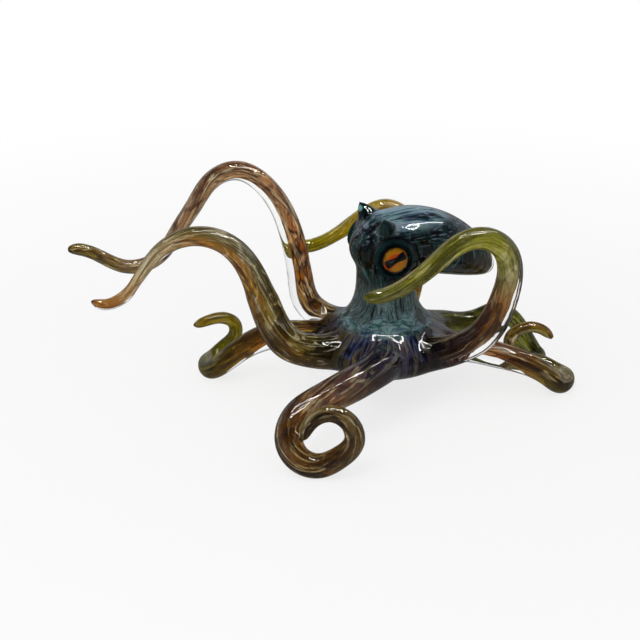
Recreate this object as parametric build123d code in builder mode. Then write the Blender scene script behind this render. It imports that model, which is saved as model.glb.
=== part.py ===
from build123d import *
import math
import os

# A solid glass octopus, sculpted hot from separate gathers and rods. Millimetres, +Z up.
# X runs along the spread of the arms, Y runs from the front coil to the rear arms, and the
# table is at zero height. The model is laid out about the upright axis of the head, and is
# moved at the end so that the origin lies under the middle of the whole figure.

# Head: an egg of glass that points over the left front and droops at its rear
FACING_ANGLE = 204
HEAD_HEIGHT = 78.0
MANTLE_HEIGHT = 33.0
MANTLE_WIDTH = 40.0
MANTLE_FRONT = 19.0
MANTLE_REAR = 59.0
MANTLE_DROOP = 24.0
MANTLE_CHIN = 4.0
MANTLE_STATIONS = 14
MANTLE_END_SHARE = 0.002
MANTLE_SKEW_SHARE = 0.8
MANTLE_FULLNESS_SHARE = 0.5

# Neck: a waist under the head that flares out over the web
NECK_RADIUS = 15.0
NECK_WAIST_HEIGHT = 58.0
NECK_FOOT_RADIUS = 27.0
NECK_FOOT_EDGE = 1.2
NECK_FOOT_ANGLE = 150

# Web: the low round gather that the arms are fused to
HUB_HEIGHT = 24.5
ARM_ROOT_DIAMETER = 20.0
WEB_MARGIN = 1.0
WEB_COVER = 1.5
WEB_FLAT_SHARE = 0.35

# Horns over the eyes
HORN_FORWARD = 8.0
HORN_APART = 26.0
HORN_RISE = 5.5
HORN_LENGTH = 15.0
HORN_BASE_RADIUS = 8.5
HORN_TIP_RADIUS = 1.8
HORN_LEAN_ANGLE = 12
HORN_STATION_SHARES = [0.0, 0.3, 0.6, 0.85, 1.0]
HORN_SWELL_SHARE = 0.4

# Eyes: a black socket ring, an amber iris disc with a dark bar let into it, and a clear lens
EYE_FORWARD = 4.5
EYE_APART = 38.0
EYE_DROP = 1.2
EYE_TURN_ANGLE = 14
EYE_LIFT_ANGLE = 8
PUPIL_TILT_ANGLE = 32
SOCKET_DIAMETER = 19.0
SOCKET_DEPTH = 6.0
SOCKET_RISE = 1.6
SOCKET_EDGE_RADIUS = 1.2
IRIS_DIAMETER = 12.4
IRIS_THICKNESS = 1.2
PUPIL_LENGTH = 10.0
PUPIL_WIDTH = 4.0
LENS_RIM = 0.6
LENS_CROWN = 2.2

# Arms: where each root leaves the hub, how far the arm spreads, how high it rises and how thick
# it is where it leaves the web and at its tip. A route is a hand-chosen list of places that the
# middle of the arm passes: shares of the reach in X and Y, and of the rise in Z. Where the third
# value is TABLE, the arm lies on the table.
TABLE = None

LEFT_REAR_ROOT_ANGLE = 138
LEFT_REAR_REACH = 158.0
LEFT_REAR_RISE = 105.0
LEFT_REAR_DIAMETER = 12.0
LEFT_REAR_TIP_DIAMETER = 6.2
LEFT_REAR_SHARES = [
    (-0.247, 0.15, 0.33), (-0.268, 0.15, 0.47), (-0.29, 0.15, 0.65), (-0.345, 0.165, 0.86),
    (-0.475, 0.177, 1.0), (-0.541, 0.177, 0.96), (-0.607, 0.165, 0.825), (-0.652, 0.152, 0.725),
    (-0.735, 0.127, 0.57), (-0.825, 0.114, 0.545), (-0.895, 0.10, 0.60), (-0.955, 0.085, 0.65),
    (-1.005, 0.075, 0.655),
]

LEFT_FRONT_ROOT_ANGLE = 210
LEFT_FRONT_REACH = 140.0
LEFT_FRONT_RISE = 92.0
LEFT_FRONT_DIAMETER = 22.5
LEFT_FRONT_TIP_DIAMETER = 5.0
LEFT_FRONT_SHARES = [
    (-0.345, -0.14, 0.36), (-0.415, -0.165, 0.565), (-0.46, -0.18, 0.77), (-0.535, -0.185, 0.94),
    (-0.655, -0.185, 1.0), (-0.78, -0.185, 0.91), (-0.86, -0.185, 0.745), (-0.915, -0.185, 0.645),
    (-0.975, -0.185, 0.61), (-1.02, -0.185, 0.637),
]

LEFT_LOW_ROOT_ANGLE = 174
LEFT_LOW_REACH = 100.0
LEFT_LOW_RISE = 26.0
LEFT_LOW_DIAMETER = 17.0
LEFT_LOW_TIP_DIAMETER = 5.0
LEFT_LOW_SHARES = [
    (-0.58, 0.09, 0.87), (-0.72, 0.06, 0.66), (-0.82, 0.045, 0.37), (-0.885, 0.08, TABLE),
    (-0.905, 0.15, TABLE), (-0.88, 0.22, TABLE), (-0.82, 0.26, 0.33), (-0.765, 0.28, 0.56),
    (-0.77, 0.285, 0.80), (-0.83, 0.27, 0.945), (-0.905, 0.25, 0.92), (-0.98, 0.23, 0.84),
]

FRONT_COIL_ROOT_ANGLE = 268
FRONT_COIL_REACH = 105.0
FRONT_COIL_RISE = 35.0
FRONT_COIL_DIAMETER = 22.5
FRONT_COIL_TIP_DIAMETER = 6.4
FRONT_COIL_SHARES = [
    (-0.02, -0.33, 0.79), (-0.175, -0.50, 0.74), (-0.32, -0.645, 0.71), (-0.42, -0.75, 0.62),
    (-0.445, -0.83, 0.41), (-0.405, -0.875, 0.24), (-0.325, -0.89, TABLE), (-0.225, -0.895, 0.29),
    (-0.16, -0.895, 0.53), (-0.178, -0.885, 0.77), (-0.265, -0.875, 0.91), (-0.34, -0.87, 0.80),
    (-0.375, -0.87, 0.50),
]

RIGHT_LOOP_ROOT_ANGLE = 318
RIGHT_LOOP_REACH = 72.0
RIGHT_LOOP_RISE = 96.0
RIGHT_LOOP_DIAMETER = 17.5
RIGHT_LOOP_TIP_DIAMETER = 6.8
RIGHT_LOOP_SHARES = [
    (0.60, -0.36, 0.39), (0.70, -0.42, 0.50), (0.772, -0.455, 0.66), (0.795, -0.485, 0.82),
    (0.735, -0.515, 0.945), (0.615, -0.54, 1.0), (0.465, -0.57, 0.985), (0.315, -0.585, 0.895),
    (0.15, -0.60, 0.79), (-0.01, -0.61, 0.725), (-0.175, -0.61, 0.71),
]

RIGHT_LOW_ROOT_ANGLE = 354
RIGHT_LOW_REACH = 93.0
RIGHT_LOW_RISE = 29.0
RIGHT_LOW_DIAMETER = 14.5
RIGHT_LOW_TIP_DIAMETER = 5.0
RIGHT_LOW_SHARES = [
    (0.57, -0.09, 0.74), (0.73, -0.115, 0.62), (0.87, -0.12, 0.38), (0.953, -0.09, TABLE),
    (0.988, -0.01, TABLE), (0.953, 0.07, TABLE), (0.87, 0.11, 0.24), (0.76, 0.125, 0.34),
    (0.70, 0.13, 0.52),
    (0.695, 0.13, 0.70), (0.74, 0.13, 0.85), (0.81, 0.13, 0.91), (0.88, 0.13, 0.83),
    (0.925, 0.13, 0.67),
]

REAR_OVER_ROOT_ANGLE = 78
REAR_OVER_REACH = 70.0
REAR_OVER_RISE = 80.0
REAR_OVER_DIAMETER = 11.5
REAR_OVER_TIP_DIAMETER = 6.4
REAR_OVER_SHARES = [
    (0.16, 0.48, 0.37), (0.235, 0.53, 0.59), (0.23, 0.58, 0.79), (0.145, 0.61, 0.935),
    (0.03, 0.63, 0.985), (-0.12, 0.645, 0.94), (-0.30, 0.645, 0.82), (-0.48, 0.645, 0.73),
    (-0.63, 0.645, 0.71), (-0.75, 0.645, 0.74),
]

REAR_RIGHT_ROOT_ANGLE = 38
REAR_RIGHT_REACH = 84.0
REAR_RIGHT_RISE = 32.0
REAR_RIGHT_DIAMETER = 12.5
REAR_RIGHT_TIP_DIAMETER = 5.0
REAR_RIGHT_SHARES = [
    (0.36, 0.275, 0.76), (0.49, 0.325, 0.68), (0.61, 0.355, 0.74), (0.71, 0.355, 0.85),
    (0.79, 0.33, 0.77), (0.87, 0.29, 0.52), (0.935, 0.275, 0.26), (0.975, 0.315, TABLE),
    (0.965, 0.39, TABLE), (0.91, 0.44, TABLE), (0.835, 0.45, 0.21), (0.775, 0.435, 0.35),
]

# What all arms share
CLEAR_SHARE = 0.35
LAYER_SEAM = 0.15
ROOT_START_SHARE = 0.28
ROOT_EXIT_SHARE = 0.6
ROOT_FLARE_SHARE = 0.25
TIP_LENGTH_SHARE = 1.2
TIP_ANGLES = [0, 35, 60, 78]
STATION_SPACING = 8.0
REST_FLAT = 0.5

ARMS = {
    "left_rear": (LEFT_REAR_ROOT_ANGLE, LEFT_REAR_REACH, LEFT_REAR_RISE,
                  LEFT_REAR_DIAMETER, LEFT_REAR_TIP_DIAMETER, LEFT_REAR_SHARES),
    "left_front": (LEFT_FRONT_ROOT_ANGLE, LEFT_FRONT_REACH, LEFT_FRONT_RISE,
                   LEFT_FRONT_DIAMETER, LEFT_FRONT_TIP_DIAMETER, LEFT_FRONT_SHARES),
    "left_low": (LEFT_LOW_ROOT_ANGLE, LEFT_LOW_REACH, LEFT_LOW_RISE,
                 LEFT_LOW_DIAMETER, LEFT_LOW_TIP_DIAMETER, LEFT_LOW_SHARES),
    "front_coil": (FRONT_COIL_ROOT_ANGLE, FRONT_COIL_REACH, FRONT_COIL_RISE,
                   FRONT_COIL_DIAMETER, FRONT_COIL_TIP_DIAMETER, FRONT_COIL_SHARES),
    "right_loop": (RIGHT_LOOP_ROOT_ANGLE, RIGHT_LOOP_REACH, RIGHT_LOOP_RISE,
                   RIGHT_LOOP_DIAMETER, RIGHT_LOOP_TIP_DIAMETER, RIGHT_LOOP_SHARES),
    "right_low": (RIGHT_LOW_ROOT_ANGLE, RIGHT_LOW_REACH, RIGHT_LOW_RISE,
                  RIGHT_LOW_DIAMETER, RIGHT_LOW_TIP_DIAMETER, RIGHT_LOW_SHARES),
    "rear_over": (REAR_OVER_ROOT_ANGLE, REAR_OVER_REACH, REAR_OVER_RISE,
                  REAR_OVER_DIAMETER, REAR_OVER_TIP_DIAMETER, REAR_OVER_SHARES),
    "rear_right": (REAR_RIGHT_ROOT_ANGLE, REAR_RIGHT_REACH, REAR_RIGHT_RISE,
                   REAR_RIGHT_DIAMETER, REAR_RIGHT_TIP_DIAMETER, REAR_RIGHT_SHARES),
}

# Sizes that follow from the ones above
root_angles = sorted(arm[0] for arm in ARMS.values())
root_spacings = [after - before for before, after in zip(root_angles, root_angles[1:])]
web_radius = (ARM_ROOT_DIAMETER / 2 + WEB_MARGIN) / math.sin(math.radians(min(root_spacings) / 2))
web_half_height = ARM_ROOT_DIAMETER / 2 + WEB_COVER
web_flat = web_radius * WEB_FLAT_SHARE
rim_share = (NECK_FOOT_RADIUS - web_flat) / (web_radius - web_flat)
neck_foot_height = HUB_HEIGHT + NECK_FOOT_EDGE + web_half_height * math.sqrt(1 - rim_share ** 2)
horn_apart_share = HORN_APART / MANTLE_WIDTH
horn_foot_height = HEAD_HEIGHT + MANTLE_HEIGHT / 2 * math.sqrt(1 - horn_apart_share ** 2)

UP = Vector(0, 0, 1)
forward = Vector(1, 0, 0).rotate(Axis.Z, FACING_ANGLE)
lateral = UP.cross(forward)


def head_point(ahead, aside, height):
    """A place given ahead of the head's axis, aside to the animal's left, and above the table."""
    return forward * ahead + lateral * aside + UP * height


# Web: a low round cake with a full rim
with BuildPart() as web:
    with BuildSketch(Plane.XZ):
        with BuildLine():
            rim = EllipticalCenterArc((web_flat, HUB_HEIGHT), web_radius - web_flat, web_half_height,
                                      start_angle=-90, arc_size=180)
            Polyline(rim @ 1, (0, HUB_HEIGHT + web_half_height), (0, HUB_HEIGHT - web_half_height), rim @ 0)
        make_face()
    revolve(axis=Axis.Z)

# Mantle: an egg lofted along a line that droops to the rear
with BuildLine():
    mantle_line = Spline(
        head_point(MANTLE_FRONT, 0, HEAD_HEIGHT - MANTLE_CHIN),
        head_point(0, 0, HEAD_HEIGHT),
        head_point(-MANTLE_REAR, 0, HEAD_HEIGHT - MANTLE_DROOP),
        tangents=[-forward + UP * (MANTLE_CHIN / MANTLE_FRONT),
                  -forward - UP * (2 * MANTLE_DROOP / MANTLE_REAR)],
    )


def mantle_swell(share):
    """How full the egg is at a share of its length, from 0 at an end to 1 at the fullest."""
    return math.sin(math.pi * share ** MANTLE_SKEW_SHARE) ** MANTLE_FULLNESS_SHARE


with BuildPart() as mantle:
    for step in range(MANTLE_STATIONS + 1):
        even_share = (1 - math.cos(math.pi * step / MANTLE_STATIONS)) / 2
        share = min(max(even_share, MANTLE_END_SHARE), 1 - MANTLE_END_SHARE)
        with BuildSketch(Plane(mantle_line @ share, x_dir=lateral, z_dir=mantle_line % share)):
            Ellipse(MANTLE_WIDTH / 2 * mantle_swell(share), MANTLE_HEIGHT / 2 * mantle_swell(share))
    loft()


def eye_plane(side):
    """The plane of an eye: outwards along its normal, with the bar pupil along its X."""
    centre = head_point(EYE_FORWARD, side * EYE_APART / 2, HEAD_HEIGHT - EYE_DROP)
    out = (lateral * side).rotate(Axis.Z, -side * EYE_TURN_ANGLE)
    level = UP.cross(out)
    out = out.rotate(Axis((0, 0, 0), level), -EYE_LIFT_ANGLE)
    bar = level.rotate(Axis((0, 0, 0), out), side * PUPIL_TILT_ANGLE)
    return Plane(centre, x_dir=bar, z_dir=out)


def socket_room(side):
    """The round room that an eye takes up in the side of the head."""
    with BuildPart() as room:
        with BuildSketch(eye_plane(side).offset(-SOCKET_DEPTH)):
            Circle(SOCKET_DIAMETER / 2)
        extrude(amount=SOCKET_DEPTH + MANTLE_WIDTH)
    return room.part


SIDES = {"left": 1, "right": -1}
rooms = {side: socket_room(side) for side in SIDES.values()}

# Neck: turned about the head's axis, seated on the web and let into the head
with BuildPart() as neck:
    with BuildSketch(Plane.XZ):
        with BuildLine():
            foot = (NECK_FOOT_RADIUS, neck_foot_height)
            waist = (NECK_RADIUS, NECK_WAIST_HEIGHT)
            leaning = Vector(1, 0).rotate(Axis.Z, NECK_FOOT_ANGLE)
            Spline(foot, waist, tangents=[leaning, (0, 1)])
            Polyline(waist, (NECK_RADIUS, HEAD_HEIGHT), (0, HEAD_HEIGHT), (0, HUB_HEIGHT),
                     (NECK_FOOT_RADIUS, HUB_HEIGHT), foot)
        make_face()
    revolve(axis=Axis.Z)
    add(web.part, mode=Mode.SUBTRACT)
    add(mantle.part, mode=Mode.SUBTRACT)
    add(rooms.values(), mode=Mode.SUBTRACT)

# Head: the egg, with a room for each eye
with BuildPart() as head:
    add(mantle.part)
    add(rooms.values(), mode=Mode.SUBTRACT)

pieces = {"web": web.part, "neck": neck.part, "mantle": head.part}


def build_horn(side):
    """One horn: a rounded cone that leans outwards, with its foot let into the head."""
    tip = head_point(HORN_FORWARD, side * HORN_APART / 2, horn_foot_height + HORN_RISE)
    lean = UP.rotate(Axis((0, 0, 0), forward), -side * HORN_LEAN_ANGLE)
    with BuildPart() as horn:
        for share in HORN_STATION_SHARES:
            taper = (1 - share) * (1 + HORN_SWELL_SHARE * share)
            radius = HORN_TIP_RADIUS + (HORN_BASE_RADIUS - HORN_TIP_RADIUS) * taper
            with BuildSketch(Plane(tip - lean * HORN_LENGTH * (1 - share), x_dir=forward, z_dir=lean)):
                Circle(radius)
        loft()
        add(mantle.part, mode=Mode.SUBTRACT)
        add(rooms[side], mode=Mode.SUBTRACT)
    return horn.part


def build_eye(side):
    """The four pieces of one eye, seated face to face on the floor of the socket."""
    plane = eye_plane(side)
    seat = plane.offset(SOCKET_RISE - LENS_RIM - IRIS_THICKNESS)
    with BuildPart() as socket:
        with BuildSketch(plane.offset(-SOCKET_DEPTH)):
            Circle(SOCKET_DIAMETER / 2)
        extrude(amount=SOCKET_DEPTH + SOCKET_RISE)
        rim = socket.faces().sort_by(Axis(plane.origin, plane.z_dir))[-1].edges()
        fillet(rim, SOCKET_EDGE_RADIUS)
        with BuildSketch(seat):
            Circle(IRIS_DIAMETER / 2)
        extrude(amount=IRIS_THICKNESS + LENS_RIM, mode=Mode.SUBTRACT)
    with BuildPart() as iris:
        with BuildSketch(seat):
            Circle(IRIS_DIAMETER / 2)
            SlotOverall(PUPIL_LENGTH, PUPIL_WIDTH, mode=Mode.SUBTRACT)
        extrude(amount=IRIS_THICKNESS)
    with BuildPart() as pupil:
        with BuildSketch(seat):
            SlotOverall(PUPIL_LENGTH, PUPIL_WIDTH)
        extrude(amount=IRIS_THICKNESS)
    with BuildPart() as lens:
        section = Plane(seat.offset(IRIS_THICKNESS).origin, x_dir=seat.x_dir, z_dir=-seat.y_dir)
        with BuildSketch(section):
            with BuildLine():
                edge = (IRIS_DIAMETER / 2, LENS_RIM)
                crown = (0, LENS_RIM + LENS_CROWN)
                TangentArc(crown, edge, tangent=(1, 0))
                Polyline(edge, (IRIS_DIAMETER / 2, 0), (0, 0), crown)
            make_face()
        revolve(axis=Axis(plane.origin, plane.z_dir))
    return {"socket": socket.part, "iris": iris.part, "pupil": pupil.part, "lens": lens.part}


for side_name, side in SIDES.items():
    pieces["horn_" + side_name] = build_horn(side)
    for piece_name, piece in build_eye(side).items():
        pieces["eye_" + side_name + "_" + piece_name] = piece


def arm_route(root_angle, reach, rise, diameter, tip_diameter, route_shares):
    """The places that the middle of an arm passes, from inside the web to the tip."""
    out = Vector(1, 0, 0).rotate(Axis.Z, root_angle)
    inside = [out * web_radius * share + UP * HUB_HEIGHT for share in (ROOT_START_SHARE, ROOT_EXIT_SHARE)]
    flat = inside + [Vector(x * reach, y * reach, (z or 0) * rise) for x, y, z in route_shares]
    lengths = [0]
    for before, after in zip(flat, flat[1:]):
        lengths.append(lengths[-1] + (after - before).length)
    route = list(inside)
    for index, (x, y, z) in enumerate(route_shares, start=len(inside)):
        share = lengths[index] / lengths[-1]
        lying = arm_radius(share, diameter, tip_diameter) - REST_FLAT
        height = lying if z is TABLE else z * rise
        route.append(Vector(x * reach, y * reach, height))
    return route


def arm_radius(share, diameter, tip_diameter):
    """Half the thickness of an arm at a share of its length: a flare, then an even taper."""
    taper = tip_diameter + (diameter - tip_diameter) * (1 - share)
    flare = (ARM_ROOT_DIAMETER - diameter) * math.exp(-share / ROOT_FLARE_SHARE)
    return (taper + flare) / 2


def arm_stations(root_angle, reach, rise, diameter, tip_diameter, route_shares):
    """Planes across an arm, each with the arm's radius there. Local X is the arm's upper side."""
    with BuildLine():
        line = Spline(*arm_route(root_angle, reach, rise, diameter, tip_diameter, route_shares))
    tip_share = TIP_LENGTH_SHARE * tip_diameter / line.length
    count = round((1 - tip_share) * line.length / STATION_SPACING)
    places = []
    for step in range(count):
        share = (1 - tip_share) * step / count
        places.append((share, arm_radius(share, diameter, tip_diameter)))
    for angle in TIP_ANGLES:
        share = 1 - tip_share * (1 - math.sin(math.radians(angle)))
        radius = arm_radius(share, diameter, tip_diameter) * math.cos(math.radians(angle))
        places.append((share, radius))
    stations = []
    upper = UP
    for share, radius in places:
        ahead = line % share
        upper = (upper - ahead * upper.dot(ahead)).normalized()
        stations.append((Plane(line @ share, x_dir=upper, z_dir=ahead), radius))
    return stations


def chord_angle(radius, seam_side):
    """The angle from the arm's upper side to the chord where one layer ends."""
    chord = radius * (2 * CLEAR_SHARE - 1) + seam_side * LAYER_SEAM / 2
    return math.degrees(math.acos(chord / radius))


def build_arm(stations):
    """The two layers of an arm, seated on the web and flat where the arm lies on the table."""
    with BuildPart() as colour:
        for plane, radius in stations:
            angle = chord_angle(radius, 1)
            with BuildSketch(plane):
                with BuildLine():
                    near = CenterArc((0, 0), radius, -angle, angle)
                    far = CenterArc((0, 0), radius, 0, angle)
                    Line(far @ 1, near @ 0)
                make_face()
        loft()
        add(web.part, mode=Mode.SUBTRACT)
        add(neck.part, mode=Mode.SUBTRACT)
        split(bisect_by=Plane.XY, keep=Keep.TOP)
    with BuildPart() as clear:
        for plane, radius in stations:
            angle = chord_angle(radius, -1)
            with BuildSketch(plane):
                with BuildLine():
                    under = CenterArc((0, 0), radius, angle, 360 - 2 * angle)
                    Line(under @ 1, under @ 0)
                make_face()
        loft()
        add(web.part, mode=Mode.SUBTRACT)
        add(neck.part, mode=Mode.SUBTRACT)
        split(bisect_by=Plane.XY, keep=Keep.TOP)
    return {"colour": colour.part, "clear": clear.part}


for arm_name, arm in ARMS.items():
    for layer_name, layer in build_arm(arm_stations(*arm)).items():
        pieces["arm_" + arm_name + "_" + layer_name] = layer

# The origin goes under the middle of the whole figure
boxes = [piece.bounding_box() for piece in pieces.values()]
middle_x = (min(box.min.X for box in boxes) + max(box.max.X for box in boxes)) / 2
middle_y = (min(box.min.Y for box in boxes) + max(box.max.Y for box in boxes)) / 2
to_middle = Location((-middle_x, -middle_y, 0))

os.makedirs("parts", exist_ok=True)
for name, piece in pieces.items():
    placed = piece.moved(to_middle)
    placed.label = name
    export_step(placed, "parts/" + name + ".step")
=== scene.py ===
import math
from collections import namedtuple

import bpy
import numpy as np
from mathutils import Matrix, Vector
from mathutils.bvhtree import BVHTree


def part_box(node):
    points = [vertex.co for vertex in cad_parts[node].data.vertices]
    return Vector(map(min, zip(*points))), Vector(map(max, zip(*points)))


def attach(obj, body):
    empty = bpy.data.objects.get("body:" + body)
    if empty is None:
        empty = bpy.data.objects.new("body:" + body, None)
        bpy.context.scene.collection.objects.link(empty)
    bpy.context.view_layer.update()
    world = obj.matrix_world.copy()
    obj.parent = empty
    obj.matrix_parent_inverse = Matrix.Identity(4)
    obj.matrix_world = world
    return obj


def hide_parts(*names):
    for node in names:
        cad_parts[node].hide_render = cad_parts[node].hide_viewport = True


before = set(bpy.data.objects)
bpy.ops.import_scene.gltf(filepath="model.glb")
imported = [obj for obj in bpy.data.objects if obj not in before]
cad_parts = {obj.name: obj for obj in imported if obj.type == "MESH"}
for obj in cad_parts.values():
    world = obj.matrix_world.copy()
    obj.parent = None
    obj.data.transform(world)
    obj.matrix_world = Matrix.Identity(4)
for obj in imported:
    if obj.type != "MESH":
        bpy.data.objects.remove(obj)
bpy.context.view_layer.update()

# A solid glass octopus: one clear skin over a streaked core in the body and in each arm.
# The octopus's own sizes are in millimetres about the foot of the head's upright axis, and MM turns
# them into the frame's metres. The floor, the lamps and the camera's distance are in metres.
MM = 0.001
web_low, web_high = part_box("web")
hub = Vector(((web_low.x + web_high.x) / 2, (web_low.y + web_high.y) / 2, 0))

# Body sizes that the arms' routes are built on, as in the solids
HUB_HEIGHT = 24.5
WEB_RADIUS = (web_high.x - web_low.x) / 2 / MM
ROOT_START_SHARE = 0.28
ROOT_EXIT_SHARE = 0.6
ROOT_FLARE_SHARE = 0.25
ARM_ROOT_DIAMETER = 20.0
REST_FLAT = 0.5
TABLE = None

# Head directions: the face looks over the left front
FACING_ANGLE = math.radians(204)
UP = Vector((0, 0, 1))
SIDES = {"left": 1, "right": -1}
forward = Vector((math.cos(FACING_ANGLE), math.sin(FACING_ANGLE), 0))
lateral = UP.cross(forward)

# Horns: rounded cones that lean forward. Feet and tips are ahead, aside and above the table.
HORN_FOOT = (1.0, 9.0, 81.0)
HORN_TIP = (8.8, 13.4, 96.2)
HORN_RADIUS = 10.0
HORN_TAPER_POWER = 0.8
HORN_RINGS = 16

# Mesh finish
VOXEL = 0.94 * MM
CORE_CLEARANCE = 0.9 * MM
SPLINE_STEPS = 60
LINE_POINTS = 800
ARM_RINGS = 170
ARM_SIDES = 24
RING_ANGLES = np.linspace(0, 2 * math.pi, ARM_SIDES, endpoint=False)
TIP_LENGTH_SHARE = 1.2
TIP_RINGS = 8
TIP_LAST_ANGLE = math.radians(84)

# Rounds of smoothing on each vertex group of the two fused meshes. No group means all over.
SKIN_ROUNDS = {"": 6, "hub": 130, "head": 120}
CORE_ROUNDS = {"": 6, "hub": 20, "head": 50}
SMOOTH_FACTOR = 0.5

# Where those groups fade: outward and upwards, then for the head upwards, aside and from the horns' tips
HUB_REACH = (44, 58)
HUB_TOP = (58, 66)
HEAD_BOTTOM = (58, 66)
HEAD_SIDE = (27, 32)
FROM_HORN = (9, 14)

# Each arm's root angle, sizes and route. A route is a list of places given as shares of the
# reach in X and Y, and of the rise in Z.
Arm = namedtuple("Arm", "root_angle reach rise diameter tip_diameter route_shares")
ARMS = {
    "left_rear": Arm(138, 158.0, 105.0, 12.0, 6.2, [
        (-0.247, 0.15, 0.33), (-0.268, 0.15, 0.47), (-0.29, 0.15, 0.65), (-0.345, 0.165, 0.86),
        (-0.475, 0.177, 1.0), (-0.541, 0.177, 0.96), (-0.607, 0.165, 0.825), (-0.652, 0.152, 0.725),
        (-0.735, 0.127, 0.57), (-0.825, 0.114, 0.545), (-0.895, 0.10, 0.60), (-0.955, 0.085, 0.65),
        (-1.005, 0.075, 0.655),
    ]),
    "left_front": Arm(210, 140.0, 92.0, 22.5, 5.0, [
        (-0.345, -0.14, 0.36), (-0.415, -0.165, 0.565), (-0.46, -0.18, 0.77), (-0.535, -0.185, 0.94),
        (-0.655, -0.185, 1.0), (-0.78, -0.185, 0.91), (-0.86, -0.185, 0.745), (-0.915, -0.185, 0.645),
        (-0.975, -0.185, 0.61), (-1.02, -0.185, 0.637),
    ]),
    "left_low": Arm(174, 100.0, 26.0, 17.0, 5.0, [
        (-0.58, 0.09, 0.87), (-0.72, 0.06, 0.66), (-0.82, 0.045, 0.37), (-0.885, 0.08, TABLE),
        (-0.905, 0.15, TABLE), (-0.88, 0.22, TABLE), (-0.82, 0.26, 0.33), (-0.765, 0.28, 0.56),
        (-0.77, 0.285, 0.80), (-0.83, 0.27, 0.945), (-0.905, 0.25, 0.92), (-0.98, 0.23, 0.84),
    ]),
    "front_coil": Arm(268, 105.0, 35.0, 22.5, 6.4, [
        (-0.02, -0.33, 0.79), (-0.175, -0.50, 0.74), (-0.32, -0.645, 0.71), (-0.42, -0.75, 0.62),
        (-0.445, -0.83, 0.41), (-0.405, -0.875, 0.24), (-0.325, -0.89, TABLE), (-0.225, -0.895, 0.29),
        (-0.16, -0.895, 0.53), (-0.178, -0.885, 0.77), (-0.265, -0.875, 0.91), (-0.34, -0.87, 0.80),
        (-0.375, -0.87, 0.50),
    ]),
    "right_loop": Arm(318, 72.0, 96.0, 17.5, 6.8, [
        (0.60, -0.36, 0.39), (0.70, -0.42, 0.50), (0.772, -0.455, 0.66), (0.795, -0.485, 0.82),
        (0.735, -0.515, 0.945), (0.615, -0.54, 1.0), (0.465, -0.57, 0.985), (0.315, -0.585, 0.895),
        (0.15, -0.60, 0.79), (-0.01, -0.61, 0.725), (-0.175, -0.61, 0.71),
    ]),
    "right_low": Arm(354, 93.0, 29.0, 14.5, 5.0, [
        (0.57, -0.09, 0.74), (0.73, -0.115, 0.62), (0.87, -0.12, 0.38), (0.953, -0.09, TABLE),
        (0.988, -0.01, TABLE), (0.953, 0.07, TABLE), (0.87, 0.11, 0.24), (0.76, 0.125, 0.34),
        (0.70, 0.13, 0.52), (0.695, 0.13, 0.70), (0.74, 0.13, 0.85), (0.81, 0.13, 0.91),
        (0.88, 0.13, 0.83), (0.925, 0.13, 0.67),
    ]),
    "rear_over": Arm(78, 70.0, 80.0, 11.5, 6.4, [
        (0.16, 0.48, 0.37), (0.235, 0.53, 0.59), (0.23, 0.58, 0.79), (0.145, 0.61, 0.935),
        (0.03, 0.63, 0.985), (-0.12, 0.645, 0.94), (-0.30, 0.645, 0.82), (-0.48, 0.645, 0.73),
        (-0.63, 0.645, 0.71), (-0.75, 0.645, 0.74),
    ]),
    "rear_right": Arm(38, 84.0, 32.0, 12.5, 5.0, [
        (0.36, 0.275, 0.76), (0.49, 0.325, 0.68), (0.61, 0.355, 0.74), (0.71, 0.355, 0.85),
        (0.79, 0.33, 0.77), (0.87, 0.29, 0.52), (0.935, 0.275, 0.26), (0.975, 0.315, TABLE),
        (0.965, 0.39, TABLE), (0.91, 0.44, TABLE), (0.835, 0.45, 0.21), (0.775, 0.435, 0.35),
    ]),
}

# How the coloured core lies in each arm: its radius and its lift towards the upper side, as shares
# of the arm's radius, near the root and past a change place, and the turns that its streaks make
Core = namedtuple("Core", "near_radius_share near_lift_share change_share"
                          " far_radius_share far_lift_share turns")
CORES = {
    "left_rear": Core(0.60, 0.30, 0.50, 0.72, 0.12, 1.2),
    "left_front": Core(0.82, 0.05, 0.68, 0.60, 0.12, 0.5),
    "left_low": Core(0.52, 0.40, 0.34, 0.70, 0.16, 0.4),
    "front_coil": Core(0.80, 0.06, 0.50, 0.76, 0.06, 0.8),
    "right_loop": Core(0.60, 0.28, 0.50, 0.66, 0.20, 0.6),
    "right_low": Core(0.52, 0.40, 0.36, 0.76, 0.08, 0.5),
    "rear_over": Core(0.74, 0.12, 0.50, 0.72, 0.12, 0.5),
    "rear_right": Core(0.76, 0.10, 0.50, 0.72, 0.10, 0.4),
}
CORE_CHANGE_SHARE = 0.08

# What is worked out at each ring of an arm, and the arm's length
ArmShape = namedtuple("ArmShape", "middle upper across radii shares length")


def ease(values, low, high):
    """A smooth step from 0 at low to 1 at high."""
    share = np.clip((values - low) / (high - low), 0, 1)
    return share * share * (3 - 2 * share)


def fade(values, low, high):
    """A smooth step from 1 at low to 0 at high."""
    return ease(-values, -high, -low)


def between(first, second, share):
    """The value at a share of the way from first to second."""
    return first + (second - first) * share


def lengths_along(places):
    """The length of a line of places from the first place to each."""
    return np.concatenate(([0], np.cumsum(np.linalg.norm(np.diff(places, axis=0), axis=1))))


def read_off(wanted, known, places):
    """The places of a line at the wanted values, from its places at known values."""
    return np.stack([np.interp(wanted, known, places[:, axis]) for axis in range(3)], axis=1)


def distances(places, centre):
    """How far each place is from a centre."""
    return np.linalg.norm(places - np.array(centre), axis=1)


def about_hub(places):
    """Places of the frame as millimetres about the hub."""
    return (places - np.array(hub)) / MM


def arm_radius(arm, share):
    """Half the thickness of an arm at a share of its length: a flare, then an even taper."""
    taper = between(arm.tip_diameter, arm.diameter, 1 - share)
    flare = (ARM_ROOT_DIAMETER - arm.diameter) * np.exp(-share / ROOT_FLARE_SHARE)
    return (taper + flare) / 2


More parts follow.
